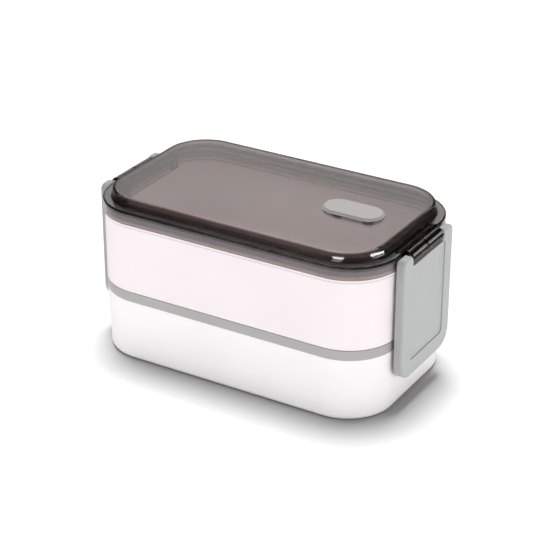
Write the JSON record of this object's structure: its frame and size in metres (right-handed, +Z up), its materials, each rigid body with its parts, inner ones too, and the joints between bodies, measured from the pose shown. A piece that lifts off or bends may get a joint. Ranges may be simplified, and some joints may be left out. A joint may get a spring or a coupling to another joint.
{
  "type": "bento lunch box",
  "caption": "Stacked bento lunch box: white trays, a grey band lid between them, a smoked domed lid with a pull-up steam vent, and hinged end clasps that hook under catches on the lower tray.",
  "frame": {"origin": "on the floor under the middle of the box", "axes": "+X along the long side towards the end nearer the steam vent, +Y across the box away from the viewer, +Z up"},
  "size_m": [0.217, 0.12, 0.1125],
  "materials": {
    "white_plastic": "satin white moulding",
    "grey_plastic": "light grey moulding",
    "silicone": "soft grey seal",
    "smoked_plastic": "clear smoked moulding",
    "vent_plastic": "warm light grey moulding",
    "clasp_plastic": "light grey moulding",
    "pin_steel": "drawn steel pin"
  },
  "bodies": {
    "base": {"lower_tray": "white_plastic"},
    "tier": {"upper_tray": "white_plastic", "middle_lid": "grey_plastic", "middle_gasket": "silicone"},
    "lid": {"top_lid": "smoked_plastic", "lid_gasket": "silicone"},
    "vent": {"vent_cap": "vent_plastic", "vent_seal": "silicone"},
    "right_pin_a": {"hinge_pin_right_front": "pin_steel"},
    "right_pin_b": {"hinge_pin_right_rear": "pin_steel"},
    "right_clasp": {"clasp_right": "clasp_plastic"},
    "left_pin_a": {"hinge_pin_left_front": "pin_steel"},
    "left_pin_b": {"hinge_pin_left_rear": "pin_steel"},
    "left_clasp": {"clasp_left": "clasp_plastic"}
  },
  "joints": [
    {"name": "tier_lift", "type": "slide", "parent": "base", "child": "tier", "axis": [0, 0, 1], "range_m": [0, 0.04]},
    {"name": "lid_lift", "type": "slide", "parent": "tier", "child": "lid", "axis": [0, 0, 1], "range_m": [0, 0.04]},
    {"name": "vent_pull", "type": "slide", "parent": "lid", "child": "vent", "axis": [0, 0, 1], "range_m": [0, 0.004]},
    {"name": "right_release_a", "type": "hinge", "parent": "lid", "child": "right_pin_a", "pos_m": [0.1056, 0, 0.1002], "axis": [0, -1, 0], "range_deg": [0, 40.2]},
    {"name": "right_release_b", "type": "hinge", "parent": "right_pin_a", "child": "right_pin_b", "pos_m": [0.1056, 0, 0.1002], "axis": [0, -1, 0], "range_deg": [0, 40.2]},
    {"name": "right_swing", "type": "hinge", "parent": "right_pin_b", "child": "right_clasp", "pos_m": [0.1056, 0, 0.1002], "axis": [0, -1, 0], "range_deg": [0, 95]},
    {"name": "left_release_a", "type": "hinge", "parent": "lid", "child": "left_pin_a", "pos_m": [-0.1056, 0, 0.1002], "axis": [0, 1, 0], "range_deg": [0, 40.2]},
    {"name": "left_release_b", "type": "hinge", "parent": "left_pin_a", "child": "left_pin_b", "pos_m": [-0.1056, 0, 0.1002], "axis": [0, 1, 0], "range_deg": [0, 40.2]},
    {"name": "left_swing", "type": "hinge", "parent": "left_pin_b", "child": "left_clasp", "pos_m": [-0.1056, 0, 0.1002], "axis": [0, 1, 0], "range_deg": [0, 95]}
  ],
  "couplings": [
    {"joint": "right_release_a", "follows": "lid_lift", "rad_per_m": 17.453},
    {"joint": "left_release_a", "follows": "lid_lift", "rad_per_m": 17.453},
    {"joint": "right_release_b", "follows": "tier_lift", "rad_per_m": 17.453},
    {"joint": "left_release_b", "follows": "tier_lift", "rad_per_m": 17.453}
  ]
}
